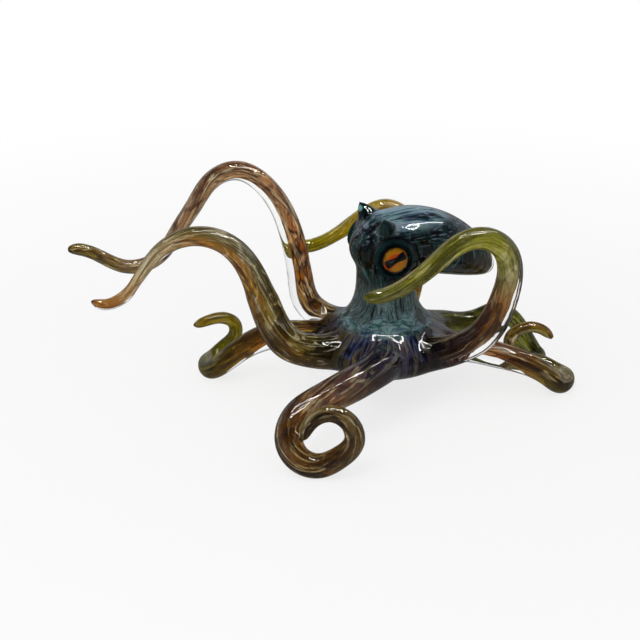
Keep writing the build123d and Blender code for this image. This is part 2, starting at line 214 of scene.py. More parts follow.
def arm_route(arm):
    """The places that the middle of an arm passes, from inside the web to the tip."""
    angle = math.radians(arm.root_angle)
    route = []
    for share in (ROOT_START_SHARE, ROOT_EXIT_SHARE):
        out = WEB_RADIUS * share
        route.append((out * math.cos(angle), out * math.sin(angle), HUB_HEIGHT))
    flat = route + [(x * arm.reach, y * arm.reach, (z or 0) * arm.rise) for x, y, z in arm.route_shares]
    lengths = lengths_along(np.array(flat))
    for index, (x, y, z) in enumerate(arm.route_shares, start=len(route)):
        lying = arm_radius(arm, lengths[index] / lengths[-1]) - REST_FLAT
        route.append((x * arm.reach, y * arm.reach, lying if z is TABLE else z * arm.rise))
    return np.array(route)


def end_slope(knots, places):
    """The slope at the first of four places of the cubic that passes them."""
    cubic = np.polyfit(knots[:4] - knots[0], places[:4], 3)
    return cubic[2]


def smooth_line(places):
    """Evenly spaced points on the cubic spline through places, and its length."""
    runs = np.linalg.norm(np.diff(places, axis=0), axis=1)
    knots = lengths_along(places)
    size = len(places)
    rows = np.zeros((size, size))
    sides = np.zeros((size, 3))
    rows[0, 0] = 1
    rows[-1, -1] = 1
    sides[0] = end_slope(knots, places)
    sides[-1] = -end_slope(-knots[::-1] + knots[-1], places[::-1])
    for i in range(1, size - 1):
        before, after = runs[i - 1], runs[i]
        rows[i, i - 1:i + 2] = after, 2 * (before + after), before
        rise_before = (places[i] - places[i - 1]) / before
        rise_after = (places[i + 1] - places[i]) / after
        sides[i] = 3 * (after * rise_before + before * rise_after)
    slopes = np.linalg.solve(rows, sides)
    fine = []
    for i in range(size - 1):
        t = np.linspace(0, 1, SPLINE_STEPS, endpoint=i == size - 2)[:, None]
        fine.append((2 * t ** 3 - 3 * t ** 2 + 1) * places[i]
                    + (t ** 3 - 2 * t ** 2 + t) * runs[i] * slopes[i]
                    + (3 * t ** 2 - 2 * t ** 3) * places[i + 1]
                    + (t ** 3 - t ** 2) * runs[i] * slopes[i + 1])
    fine = np.concatenate(fine)
    along = lengths_along(fine)
    return read_off(np.linspace(0, along[-1], LINE_POINTS), along, fine), along[-1]


def arm_shape(arm):
    """The rings of an arm, with its upper side carried along without twist and its tip rounded."""
    line, length = smooth_line(arm_route(arm))
    tip_share = TIP_LENGTH_SHARE * arm.tip_diameter / length
    tip_angles = np.linspace(0, TIP_LAST_ANGLE, TIP_RINGS)
    shares = np.concatenate((np.linspace(0, 1 - tip_share, ARM_RINGS, endpoint=False),
                             1 - tip_share * (1 - np.sin(tip_angles))))
    rounding = np.concatenate((np.ones(ARM_RINGS), np.cos(tip_angles)))
    middle = read_off(shares, np.linspace(0, 1, LINE_POINTS), line)
    onward = np.gradient(middle, axis=0)
    onward /= np.linalg.norm(onward, axis=1)[:, None]
    upper = np.zeros_like(middle)
    last = np.array(UP)
    for i, direction in enumerate(onward):
        last = last - direction * last.dot(direction)
        last = last / np.linalg.norm(last)
        upper[i] = last
    radii = arm_radius(arm, shares) * rounding
    return ArmShape(middle, upper, np.cross(onward, upper), radii, shares, length)


def ring_faces(ring_count, side_count):
    """The faces between neighbouring rings of points."""
    faces = []
    for i in range(ring_count - 1):
        low = i * side_count
        high = low + side_count
        for j in range(side_count):
            k = (j + 1) % side_count
            faces.append((low + j, low + k, high + k, high + j))
    return faces


def tube_mesh(name, middle, upper, across, radii):
    """A closed tube of round rings, in metres in the shared frame."""
    turns = RING_ANGLES[None, :, None]
    ring = np.cos(turns) * upper[:, None, :] + np.sin(turns) * across[:, None, :]
    points = (middle[:, None, :] + ring * radii[:, None, None]).reshape(-1, 3)
    faces = ring_faces(len(middle), ARM_SIDES)
    faces.append(tuple(range(ARM_SIDES))[::-1])
    faces.append(tuple(range(len(points) - ARM_SIDES, len(points))))
    mesh = bpy.data.meshes.new(name)
    mesh.from_pydata([tuple(point) for point in points * MM + np.array(hub)], [], faces)
    return mesh


def horn_mesh(side_name):
    """The outside of one horn."""
    side = SIDES[side_name]
    foot, tip = [forward * ahead + lateral * aside * side + UP * up
                 for ahead, aside, up in (HORN_FOOT, HORN_TIP)]
    lean = (tip - foot).normalized()
    shares = np.sin(np.linspace(0, math.pi / 2, HORN_RINGS, endpoint=False))
    middle = np.array(foot) + shares[:, None] * np.array(tip - foot)
    across = lean.cross(forward).normalized()
    upper = across.cross(lean)
    radii = HORN_RADIUS * (1 - shares) ** HORN_TAPER_POWER
    return tube_mesh("horn_" + side_name + "_outer", middle, np.tile(np.array(upper), (HORN_RINGS, 1)),
                     np.tile(np.array(across), (HORN_RINGS, 1)), radii)


def new_object(name, data):
    """An object in the scene."""
    item = bpy.data.objects.new(name, data)
    bpy.context.scene.collection.objects.link(item)
    return item


def new_piece(name, mesh, nodes, material):
    """A smooth-shaded piece on the one body, standing for CAD nodes."""
    piece = new_object(name, mesh)
    mesh.shade_smooth()
    mesh.materials.append(material)
    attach(piece, "root")
    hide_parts(*nodes)


def set_attribute(mesh, name, values):
    """Stores a number or a vector per vertex for the materials to read."""
    values = np.asarray(values, np.float32)
    kind, field = ("FLOAT", "value") if values.ndim == 1 else ("FLOAT_VECTOR", "vector")
    mesh.attributes.new(name, kind, "POINT").data.foreach_set(field, values.ravel())


def vertex_array(mesh, field="co"):
    """The places or normals of a mesh's vertices."""
    values = np.zeros(len(mesh.vertices) * 3, np.float32)
    mesh.vertices.foreach_get(field, values)
    return values.reshape(-1, 3).astype(float)


def set_places(mesh, places):
    """Moves a mesh's vertices to places."""
    mesh.vertices.foreach_set("co", np.asarray(places, np.float32).ravel())
    mesh.update()


def joined_mesh(name, sources):
    """One mesh with the faces of all the sources."""
    points = []
    faces = []
    for source in sources:
        start = len(points)
        points.extend(vertex.co[:] for vertex in source.vertices)
        faces.extend(tuple(start + index for index in face.vertices) for face in source.polygons)
    mesh = bpy.data.meshes.new(name)
    mesh.from_pydata(points, [], faces)
    return mesh


def modified_mesh(builder):
    """A new mesh of an object as its modifiers leave it."""
    graph = bpy.context.evaluated_depsgraph_get()
    return bpy.data.meshes.new_from_object(builder.evaluated_get(graph))


def smoothing_weights(places):
    """How strongly places are smoothed as part of the web and of the head."""
    outward = np.hypot(places[:, 0], places[:, 1])
    ahead = places @ np.array(forward)
    aside = np.abs(places @ np.array(lateral))
    height = places[:, 2]
    from_horn = distances(np.stack([ahead, aside, height], axis=1), HORN_TIP)
    near_hub = fade(outward, *HUB_REACH) * fade(height, *HUB_TOP)
    on_head = ease(height, *HEAD_BOTTOM) * fade(aside, *HEAD_SIDE) * ease(from_horn, *FROM_HORN)
    return {"hub": near_hub, "head": on_head}


def fused_mesh(name, sources, rounds):
    """One closed mesh round all the sources, smoothed, and more so at the web and on the head."""
    builder = new_object(name, joined_mesh(name, sources))
    remesh = builder.modifiers.new("fuse", "REMESH")
    remesh.mode = "VOXEL"
    remesh.voxel_size = VOXEL
    builder.data = modified_mesh(builder)
    builder.modifiers.clear()
    for group_name, weights in smoothing_weights(about_hub(vertex_array(builder.data))).items():
        group = builder.vertex_groups.new(name=group_name)
        for index in np.nonzero(weights > 0)[0]:
            group.add([int(index)], float(weights[index]), "REPLACE")
    for group_name, iterations in rounds.items():
        smooth = builder.modifiers.new("smooth", "SMOOTH")
        smooth.factor = SMOOTH_FACTOR
        smooth.iterations = iterations
        smooth.vertex_group = group_name
    mesh = modified_mesh(builder)
    mesh.name = name
    bpy.data.objects.remove(builder)
    return mesh


def colour(code):
    """A linear colour from its six-digit display code, by the sRGB formula."""
    parts = [int(code[i:i + 2], 16) / 255 for i in (0, 2, 4)]
    return tuple(p / 12.92 if p <= 0.04045 else ((p + 0.055) / 1.055) ** 2.4 for p in parts) + (1,)


class Nodes:
    """Short ways to add and link the nodes of a material or of the world."""

    def __init__(self, tree):
        self.tree = tree

    def add(self, kind, **settings):
        node = self.tree.nodes.new(kind)
        for key, value in settings.items():
            setattr(node, key, value)
        return node

    def feed(self, socket, value):
        """Links a socket, or sets it from a number or a colour code."""
        if isinstance(value, str):
            socket.default_value = colour(value)
        elif isinstance(value, (int, float)):
            socket.default_value = value
        else:
            self.tree.links.new(value, socket)

    def attribute(self, name, output="Fac"):
        return self.add("ShaderNodeAttribute", attribute_name=name).outputs[output]

    def stretched(self, vector, scale, shift):
        """A vector with its own scale along each axis, moved by shift."""
        mapping = self.add("ShaderNodeMapping")
        mapping.inputs["Scale"].default_value = scale
        mapping.inputs["Location"].default_value = (shift, shift, shift)
        self.feed(mapping.inputs["Vector"], vector)
        return mapping.outputs["Vector"]

    def noise(self, vector, scale, detail, distortion=0.0, shift=0.0):
        """Noise with its scale per unit of the vector along each axis."""
        texture = self.add("ShaderNodeTexNoise")
        texture.inputs["Scale"].default_value = 1
        texture.inputs["Detail"].default_value = detail
        texture.inputs["Distortion"].default_value = distortion
        self.feed(texture.inputs["Vector"], self.stretched(vector, scale, shift))
        return texture.outputs["Fac"]

    def cells(self, vector, scale, feature, output, shift):
        """Cells with their scale per unit of the vector along each axis."""
        texture = self.add("ShaderNodeTexVoronoi", feature=feature)
        texture.inputs["Scale"].default_value = 1
        self.feed(texture.inputs["Vector"], self.stretched(vector, scale, shift))
        return texture.outputs[output]

    def warped(self, vector, scale, amount):
        """A vector moved about by noise."""
        texture = self.add("ShaderNodeTexNoise")
        texture.inputs["Scale"].default_value = 1
        self.feed(texture.inputs["Vector"], self.stretched(vector, (scale, scale, scale), 0))
        moved = self.add("ShaderNodeVectorMath", operation="MULTIPLY_ADD")
        self.feed(moved.inputs[0], texture.outputs["Color"])
        moved.inputs[1].default_value = (amount, amount, amount)
        self.feed(moved.inputs[2], vector)
        return moved.outputs["Vector"]

    def ramp(self, factor, stops):
        """A colour ramp. stops is a list of place and colour code."""
        node = self.add("ShaderNodeValToRGB")
        elements = node.color_ramp.elements
        while len(elements) < len(stops):
            elements.new(0.5)
        for element, (place, code) in zip(elements, stops):
            element.position = place
            element.color = colour(code)
        self.feed(node.inputs["Fac"], factor)
        return node.outputs["Color"]

    def step(self, value, low, high):
        """A smooth step of a value from 0 at low to 1 at high."""
        node = self.add("ShaderNodeMapRange", interpolation_type="SMOOTHSTEP")
        node.inputs["From Min"].default_value = low
        node.inputs["From Max"].default_value = high
        self.feed(node.inputs["Value"], value)
        return node.outputs["Result"]

    def maths(self, operation, first, second):
        node = self.add("ShaderNodeMath", operation=operation)
        self.feed(node.inputs[0], first)
        self.feed(node.inputs[1], second)
        return node.outputs["Value"]

    def rest(self, value):
        """What a value leaves of 1."""
        return self.maths("SUBTRACT", 1, value)

    def plus(self, first, second, share):
        """First plus a share of second."""
        return self.maths("ADD", first, self.maths("MULTIPLY", second, share))

    def mix(self, factor, first, second, share=1.0):
        """Second over first by a factor times a share."""
        node = self.add("ShaderNodeMix", data_type="RGBA")
        if share < 1:
            factor = self.maths("MULTIPLY", factor, share)
        for name, value in (("Factor", factor), ("A", first), ("B", second)):
            self.feed(next(s for s in node.inputs if s.name == name and s.enabled), value)
        return next(s for s in node.outputs if s.enabled)

    def mix_shaders(self, factor, first, second):
        """Second shader over first by a factor."""
        node = self.add("ShaderNodeMixShader")
        self.feed(node.inputs["Fac"], factor)
        self.feed(node.inputs[1], first)
        self.feed(node.inputs[2], second)
        return node.outputs["Shader"]

    def mirrored(self, paths):
        """1 for a ray that is reflected and doesn't go through glass."""
        not_through = self.rest(paths.outputs["Is Transmission Ray"])
        return self.maths("MULTIPLY", paths.outputs["Is Glossy Ray"], not_through)

    def finish(self, surface):
        """Makes a shader the material's surface."""
        self.feed(self.tree.nodes["Material Output"].inputs["Surface"], surface)


def new_material(name):
    """A material with its nodes and its main shader."""
    material = bpy.data.materials.new(name)
    material.use_nodes = True
    return material, Nodes(material.node_tree), material.node_tree.nodes["Principled BSDF"]


# Clear glass, and the tint that it gives to shadows. Its ripple is noise per metre.
CLEAR_COLOUR = "fdfefd"
CLEAR_IOR = 1.5
SHADOW_TINT = "f6f7f6"
RIPPLE_GRAIN = (110, 110, 110)
RIPPLE_STRENGTH = 0.02
RIPPLE_HEIGHT = 1 * MM

# Coloured glass that lies in clear glass, and how much of the light goes through it
CORE_ROUGHNESS = 0.1
CORE_GLOSS = 0.1
CORE_IOR = 1.04
ARM_THROUGH = 0.7
BODY_THROUGH = 0.25
EYE_THROUGH = 0.0

# Grain of the arms' streaks, per millimetre along the arm and across it
WANDER_GRAIN = (0.03, 0.14, 0.14)
LEAF_GRAIN = (0.06, 0.24, 0.24)
BROAD_GRAIN = (0.018, 0.40, 0.40)
FLECK_GRAIN = (0.07, 0.36, 0.36)
THREAD_GRAIN = (0.012, 1.1, 1.1)
PALE_GRAIN = (0.010, 0.8, 0.8)


def core_glass(name, through, paint, *details):
    """Coloured glass that lies in clear glass and lets part of the light through."""
    material, n, shader = new_material(name)
    n.feed(shader.inputs["Base Color"], paint(n, *details))
    shader.inputs["Roughness"].default_value = CORE_ROUGHNESS
    shader.inputs["Specular IOR Level"].default_value = CORE_GLOSS
    shader.inputs["IOR"].default_value = CORE_IOR
    shader.inputs["Transmission Weight"].default_value = through
    return material


def clear_glass():
    """Clear glass that lets light through to the core."""
    material, n, shader = new_material("clear_glass")
    shader.inputs["Base Color"].default_value = colour(CLEAR_COLOUR)
    shader.inputs["Roughness"].default_value = 0.0
    shader.inputs["IOR"].default_value = CLEAR_IOR
    shader.inputs["Transmission Weight"].default_value = 1.0
    ripple = n.add("ShaderNodeBump")
    ripple.inputs["Strength"].default_value = RIPPLE_STRENGTH
    ripple.inputs["Distance"].default_value = RIPPLE_HEIGHT
    place = n.add("ShaderNodeTexCoord").outputs["Object"]
    n.feed(ripple.inputs["Height"], n.noise(place, RIPPLE_GRAIN, detail=1))
    n.feed(shader.inputs["Normal"], ripple.outputs["Normal"])
    shadow = n.add("ShaderNodeBsdfTransparent")
    shadow.inputs["Color"].default_value = colour(SHADOW_TINT)
    in_shadow = n.add("ShaderNodeLightPath").outputs["Is Shadow Ray"]
    n.finish(n.mix_shaders(in_shadow, shader.outputs["BSDF"], shadow.outputs["BSDF"]))
    return material


def arm_colour(n, colours):
    """Streaks along an arm: colours of the upper and under sides, leaf shapes, dark threads and flecks."""
    strand = n.attribute("strand", "Vector")
    along = n.attribute("share")
    dark = n.ramp(along, colours.dark)
    wander = n.noise(strand, WANDER_GRAIN, detail=3)
    side = n.step(n.plus(n.attribute("upper_side"), wander, share=1.6), 0.35, 1.05)
    base = n.mix(side, n.ramp(along, colours.under), n.ramp(along, colours.upper))
    leaf = n.cells(strand, LEAF_GRAIN, "F1", "Color", shift=3)
    base = n.mix(n.step(leaf, 0.4, 0.9), base, dark, share=0.5 * colours.leaf_share)
    edge = n.cells(strand, LEAF_GRAIN, "DISTANCE_TO_EDGE", "Distance", shift=3)
    base = n.mix(n.rest(n.step(edge, 0.03, 0.10)), base, dark, share=colours.leaf_share)
    broad = n.noise(strand, BROAD_GRAIN, detail=6, distortion=0.4)
    base = n.mix(n.step(broad, 0.52, 0.60), base, dark, share=0.75)
    flecks = n.noise(strand, FLECK_GRAIN, detail=4, distortion=1.4, shift=3)
    base = n.mix(n.step(flecks, 0.56, 0.62), base, colours.fleck, share=colours.fleck_share)
    threads = n.noise(strand, THREAD_GRAIN, detail=3, distortion=0.2, shift=7)
    base = n.mix(n.step(threads, 0.56, 0.62), base, dark, share=0.8)
    pale = n.noise(strand, PALE_GRAIN, detail=3, distortion=0.2, shift=19)
    return n.mix(n.step(pale, 0.58, 0.63), base, colours.fleck, share=0.6)


# Colours along each arm, from root to tip: upper side, under side, dark streaks, then the colour
# of the flecks, their share, and how strongly leaf shapes show
ArmColours = namedtuple("ArmColours", "upper under dark fleck fleck_share leaf_share")
ARM_COLOURS = {
    "left_rear": ArmColours(
        [(0, "201a24"), (0.12, "52321a"), (0.3, "9c5016"), (0.45, "a8724a"), (0.7, "946a4c"),
         (1, "7c5a20")],
        [(0, "483c18"), (0.12, "b07a26"), (0.3, "cc7a24"), (0.45, "d4a470"), (0.7, "b48c60"),
         (1, "8a8020")],
        [(0, "0e090c"), (0.35, "1e110b"), (0.5, "44291c"), (0.7, "44291c"), (1, "38240e")],
        "ecdcb4", 0.65, 0.95),
    "left_front": ArmColours(
        [(0, "242028"), (0.12, "463a14"), (0.35, "5e4e10"), (0.5, "444a38"), (0.65, "6a663c"),
         (0.8, "b8ac80"), (0.93, "c08840"), (1, "b4600c")],
        [(0, "3a3018"), (0.12, "7c6414"), (0.35, "a87412"), (0.5, "b87418"), (0.65, "b8823a"),
         (0.8, "dcd0ac"), (0.93, "cc9850"), (1, "c47410")],
        [(0, "100c10"), (0.15, "2c2008"), (0.4, "55400c"), (0.7, "765620"), (1, "864c0e")],
        "f2e6c6", 0.8, 0.35),
    "left_low": ArmColours(
        [(0, "1a141a"), (0.3, "2e2024"), (0.5, "403418"), (0.75, "625c08"), (1, "927212")],
        [(0, "583810"), (0.3, "d4740e"), (0.5, "8c6a0c"), (0.75, "8a8608"), (1, "b88412")],
        [(0, "0a070a"), (0.5, "160f08"), (1, "2a2604")],
        "c4ae58", 0.45, 0.45),
    "front_coil": ArmColours(
        [(0, "26345c"), (0.18, "403a5c"), (0.3, "4a3238"), (0.45, "46291e"), (0.7, "523a20"),
         (1, "645022")],
        [(0, "34405c"), (0.15, "5a5468"), (0.26, "8a5e40"), (0.34, "c88c50"), (0.5, "c87c08"),
         (0.75, "866628"), (1, "806624")],
        [(0, "080810"), (0.4, "140b0c"), (1, "20140e")],
        "e0d0a2", 0.5, 0.4),
    "right_loop": ArmColours(
        [(0, "1a141e"), (0.2, "2a1a1c"), (0.4, "6a3e20"), (0.48, "6e6638"), (0.56, "86840a"),
         (1, "8e8c0a")],
        [(0, "3a3014"), (0.2, "5e381e"), (0.4, "a06c38"), (0.48, "a09864"), (0.56, "a09c48"),
         (1, "aaa644")],
        [(0, "08070b"), (0.4, "22120e"), (0.52, "443e0c"), (0.65, "5c5a04"), (1, "666404")],
        "e0d0a8", 0.45, 0.35),
    "right_low": ArmColours(
        [(0, "1e181c"), (0.2, "743e2a"), (0.45, "58401c"), (0.65, "60580c"), (1, "6a640c")],
        [(0, "483a14"), (0.2, "d06c2c"), (0.45, "8e7220"), (0.65, "7c7808"), (1, "bc7812")],
        [(0, "0c090b"), (0.5, "20150b"), (1, "2c2804")],
        "e6d0ac", 0.6, 0.4),
    "rear_over": ArmColours(
        [(0, "2e2212"), (0.4, "966412"), (0.65, "a07a08"), (1, "8a8604")],
        [(0, "4a3c12"), (0.4, "c88c20"), (0.65, "b89c0a"), (1, "a49e10")],
        [(0, "120c06"), (0.5, "523406"), (1, "524c04")],
        "f0dc98", 0.5, 0.3),
    "rear_right": ArmColours(
        [(0, "1c1a14"), (0.3, "38360c"), (0.6, "48480c"), (1, "5e5e0c")],
        [(0, "3c3a10"), (0.3, "5e5e0c"), (0.6, "70700e"), (1, "7c7c10")],
        [(0, "0a0806"), (0.5, "141404"), (1, "222204")],
        "b8b468", 0.45, 0.45),
}

# Grain of the body's glass, per millimetre: ahead, aside and above on the head and in the pale foot,
# and down and around on the neck and web
CROWN_GRAIN = (0.032, 0.30, 0.30)
CROWN_PALE_GRAIN = (0.05, 0.75, 0.75)
FURROW_GRAIN = (0.24, 0.24, 0.04)
MARBLE_GRAIN = (0.13, 0.13, 0.13)
CELL_GRAIN = (0.09, 0.09, 0.26)
CELL_EDGE_GRAIN = (0.13, 0.13, 0.32)
CELL_WARP_GRAIN = 0.08
CELL_WARP = 9
DRIP_GRAIN = (0.05, 0.34, 0.34)
SPOKE_GRAIN = (0.03, 0.42, 0.42)
VEIL_GRAIN = (0.02, 0.12, 0.12)

# Colours of the body's glass
CROWN_STOPS = [(0.34, "202e37"), (0.41, "577588"), (0.46, "7ca6aa"), (0.51, "b6d4d4"), (0.56, "738fbe"),
               (0.61, "ccd6ea"), (0.67, "6a8896")]
CROWN_PALE = "a4b0c6"
FACE_STOPS = [(0.40, "040608"), (0.50, "091314"), (0.56, "204040"), (0.60, "0b1817"), (0.66, "487470")]
HORN_STOPS = [(0.42, "060c0d"), (0.56, "12282a"), (0.68, "1f4442")]
ROUND_EYE = "030506"
# Turquoise of the far horn's and brow's patches, partly tint and partly painted sheen
TURQUOISE_SHEEN_COLOUR = "8fd4cc"
NECK_STOPS = [(0.36, "0c1214"), (0.44, "33464a"), (0.49, "7e9a98"), (0.53, "2a3a40"), (0.58, "94aca8"),
              (0.66, "3c4e52")]
WEB_STOPS = [(0.36, "10101a"), (0.43, "2c3458"), (0.48, "5c6688"), (0.52, "3a2a28"), (0.57, "8e8678"),
             (0.64, "604a28")]
RIM_STOPS = [(0.36, "0e0b0e"), (0.44, "2a2020"), (0.50, "5a4a1c"), (0.55, "2c2226"), (0.64, "7a6630")]
ROOT_DARK = "0e0a0c"
VEIL_COLOUR = "14191c"
CELL_STOPS = [(0.34, "28404a"), (0.43, "5c8488"), (0.49, "9ab8b6"), (0.54, "4e6a80"), (0.60, "8ea8ac"),
              (0.68, "38506a")]
CELL_EDGE = "0a121c"
FOOT_SPOT_COLOUR = "33260f"


def head_colour(n):
    """Pale streaks along the crown, dark furrows on the face and horns, and black round the eyes."""
    place = n.attribute("head_strand", "Vector")
    flow = n.noise(place, CROWN_GRAIN, detail=7, distortion=0.8)
    furrows = n.noise(place, FURROW_GRAIN, detail=5, distortion=0.8, shift=6)
    base = n.mix(n.attribute("dark_face"), n.ramp(flow, CROWN_STOPS), n.ramp(furrows, FACE_STOPS))
    pale = n.step(n.noise(place, CROWN_PALE_GRAIN, detail=4, distortion=0.4, shift=5), 0.54, 0.66)
    base = n.mix(n.maths("MULTIPLY", pale, n.attribute("crown")), base, CROWN_PALE, share=0.7)
    base = n.mix(n.attribute("horn"), base, n.ramp(furrows, HORN_STOPS))
    return n.mix(n.attribute("eye_ring"), base, ROUND_EYE)


def foot_colour(n):
    """Pale cells with dark edges, where the neck spreads over the web."""
    place = n.warped(n.attribute("head_strand", "Vector"), CELL_WARP_GRAIN, CELL_WARP)
    shade = n.noise(place, CELL_GRAIN, detail=3, distortion=0.5, shift=2)
    edge = n.cells(place, CELL_EDGE_GRAIN, "DISTANCE_TO_EDGE", "Distance", shift=2)
    return n.mix(n.rest(n.step(edge, 0.01, 0.09)), n.ramp(shade, CELL_STOPS), CELL_EDGE, share=0.5)


def trunk_colour(n):
    """Streaks down the neck and outwards on the web, its rim and the arms' roots."""
    place = n.attribute("body_strand", "Vector")
    drip = n.noise(place, DRIP_GRAIN, detail=7, distortion=2.0)
    spokes = n.noise(place, SPOKE_GRAIN, detail=6, distortion=1.4, shift=9)
    marble = n.noise(n.attribute("head_strand", "Vector"), MARBLE_GRAIN, detail=7, distortion=1.6, shift=13)
    ragged = n.plus(n.attribute("outward"), marble, share=0.8)
    base = n.mix(n.step(ragged, 0.86, 1.08), n.ramp(drip, NECK_STOPS), n.ramp(spokes, WEB_STOPS))
    base = n.mix(n.step(ragged, 1.20, 1.42), base, n.ramp(spokes, RIM_STOPS))
    root = n.mix(n.step(spokes, 0.40, 0.53), ROOT_DARK, n.attribute("root_tint", "Color"))
    base = n.mix(n.attribute("near_root"), base, root, share=0.85)
    veil = n.step(n.noise(place, VEIL_GRAIN, detail=2, distortion=0.5, shift=11), 0.46, 0.62)
    base = n.mix(veil, base, VEIL_COLOUR, share=0.3)
    in_foot = n.step(n.plus(n.attribute("pale_foot"), marble, share=1.8), 1.20, 1.70)
    return n.mix(in_foot, base, foot_colour(n))


def body_colour(n):
    """Teal and blue streaks, lengthwise on the head and downwards on the neck and web."""
    base = n.mix(n.attribute("on_head"), trunk_colour(n), head_colour(n))
    # Turquoise patches on the far horn and brow: the glass's tint with a painted sheen on it
    base = n.mix(n.attribute("turquoise_and_sheen"), base, TURQUOISE_SHEEN_COLOUR, share=0.85)
    return n.mix(n.attribute("brown_foot"), base, FOOT_SPOT_COLOUR, share=0.9)


# Grain of the eyes' glass per millimetre, and its colours
IRIS_THREAD_GRAIN = (0.5, 0.9, 0.9)
IRIS_PATCH_GRAIN = (0.28, 0.28, 0.28)
IRIS_STOPS = [(0.10, "a86410"), (0.55, "c07a12"), (0.82, "a9720f"), (0.96, "3a240c")]
IRIS_RED = "cc3a0a"
RING_GRAIN = (0.35, 0.35, 0.35)
RING_STOPS = [(0.78, "030506"), (0.92, "080f11"), (1, "14282a")]
PUPIL_GRAIN = (0.4, 0.4, 0.4)
PUPIL_DARK = "05060e"
PUPIL_PALE = "141a30"


def iris_colour(n):
    """An amber iris, red beside the bar and dark at its edge."""
    place = n.attribute("eye_place", "Vector")
    threads = n.maths("SUBTRACT", n.noise(place, IRIS_THREAD_GRAIN, detail=4, distortion=1.0), 0.5)
    amber = n.ramp(n.plus(n.attribute("eye_outward"), threads, share=0.25), IRIS_STOPS)
    near_bar = n.rest(n.step(n.attribute("eye_beside"), 0.6, 1.3))
    patches = n.step(n.noise(place, IRIS_PATCH_GRAIN, detail=2, distortion=0.6, shift=4), 0.42, 0.60)
    return n.mix(n.maths("MULTIPLY", near_bar, patches), amber, IRIS_RED)


def ring_colour(n):
    """Black glass round the iris that turns to dark teal at its outer edge."""
    threads = n.noise(n.attribute("eye_place", "Vector"), RING_GRAIN, detail=4, distortion=0.8)
    outward = n.maths("MULTIPLY", n.attribute("eye_outward"), 0.6)
    return n.ramp(n.plus(outward, threads, share=0.3), RING_STOPS)


def pupil_colour(n):
    """Nearly black glass with faint lighter threads."""
    threads = n.noise(n.attribute("eye_place", "Vector"), PUPIL_GRAIN, detail=4, distortion=0.8)
    return n.mix(n.step(threads, 0.45, 0.75), PUPIL_DARK, PUPIL_PALE, share=0.6)


# Skin: clear glass round the arms, the body and the eyes
horn_meshes = [horn_mesh(side_name) for side_name in SIDES]
body_sources = [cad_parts[name].data for name in ("mantle", "neck", "web")] + horn_meshes
eye_nodes = ["eye_" + side_name + "_" + part
             for side_name in SIDES for part in ("socket", "iris", "pupil", "lens")]
arm_shapes = {name: arm_shape(arm) for name, arm in ARMS.items()}
arm_tubes = [tube_mesh(name + "_outer", shape.middle, shape.upper, shape.across, shape.radii)
             for name, shape in arm_shapes.items()]
skin_sources = arm_tubes + body_sources + [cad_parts[name].data for name in eye_nodes]
skin_mesh = fused_mesh("glass_skin", skin_sources, SKIN_ROUNDS)
skin_places = vertex_array(skin_mesh)
skin_places[:, 2] = np.maximum(skin_places[:, 2], 0)
set_places(skin_mesh, skin_places)
clear_nodes = ["arm_" + name + "_clear" for name in ARMS]
clear_nodes += ["eye_" + side_name + "_lens" for side_name in SIDES]
new_piece("glass_skin", skin_mesh, clear_nodes, clear_glass())
skin_tree = BVHTree.FromPolygons([tuple(place) for place in skin_places],
                                 [tuple(face.vertices) for face in skin_mesh.polygons])


def tucked(places):
    """Places moved inwards where they lie nearer to the skin than the core's clearance."""
    kept = places.copy()
    for index, place in enumerate(places):
        on_skin, normal = skin_tree.find_nearest(Vector(place))[:2]
        if (Vector(place) - on_skin).dot(normal) > -CORE_CLEARANCE:
            kept[index] = on_skin - normal * CORE_CLEARANCE
    return kept


def build_arm(name):
    """The coloured core of one arm."""
    shape = arm_shapes[name]
    core = CORES[name]
    changed = ease(shape.shares, core.change_share - CORE_CHANGE_SHARE, core.change_share + CORE_CHANGE_SHARE)
    core_radii = shape.radii * between(core.near_radius_share, core.far_radius_share, changed)
    lift = shape.radii * between(core.near_lift_share, core.far_lift_share, changed)
    mesh = tube_mesh("arm_" + name + "_core", shape.middle + shape.upper * lift[:, None], shape.upper,
                     shape.across, core_radii)
    set_places(mesh, tucked(vertex_array(mesh)))
    twist = RING_ANGLES[None, :] + 2 * math.pi * core.turns * shape.shares[:, None]
    strand = np.stack([np.repeat(shape.shares * shape.length, ARM_SIDES),
                       (np.cos(twist) * core_radii[:, None]).ravel(),
                       (np.sin(twist) * core_radii[:, None]).ravel()], axis=1)
    set_attribute(mesh, "strand", strand)
    set_attribute(mesh, "share", np.repeat(shape.shares, ARM_SIDES))
    set_attribute(mesh, "upper_side", np.tile(np.cos(RING_ANGLES), len(shape.shares)))
    new_piece("arm_" + name + "_core", mesh, ["arm_" + name + "_colour"],
              core_glass("streaks_" + name, ARM_THROUGH, arm_colour, ARM_COLOURS[name]))


for name in ARMS:
    build_arm(name)


def eye_centre(side_name):
    """The middle of an iris."""
    low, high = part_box("eye_" + side_name + "_iris")
    return (low + high) / 2


def spotted(places, spots):
    """1 in the middle of each spot and 0 past its size, from centres and sizes."""
    return np.max([fade(distances(places, centre), size / 2, size) for centre, size in spots.items()], axis=0)


# Body core: the head, neck, web and horns in one, set back under the skin. The clear glass over
# it is thickest at the rear end of the mantle and along the neck's front edge.
REAR_CLEAR = 4.0
REAR_SPAN = (46, 58)
NECK_CLEAR = 7.0
NECK_LEFT_SPAN = (5, 14)
NECK_BOTTOM_SPAN = (38, 46)
NECK_TOP_SPAN = (58, 66)
core_mesh = fused_mesh("body_core", body_sources, CORE_ROUNDS)
surface_places = vertex_array(core_mesh)
from_hub = about_hub(surface_places)
ahead = from_hub @ np.array(forward)
height = from_hub[:, 2]
set_back = CORE_CLEARANCE / MM + REAR_CLEAR * ease(-ahead, *REAR_SPAN)
set_back += (NECK_CLEAR * ease(-from_hub[:, 0], *NECK_LEFT_SPAN)
             * ease(height, *NECK_BOTTOM_SPAN) * fade(height, *NECK_TOP_SPAN))
core_places = tucked(surface_places - vertex_array(core_mesh, "normal") * (set_back * MM)[:, None])
set_places(core_mesh, core_places)
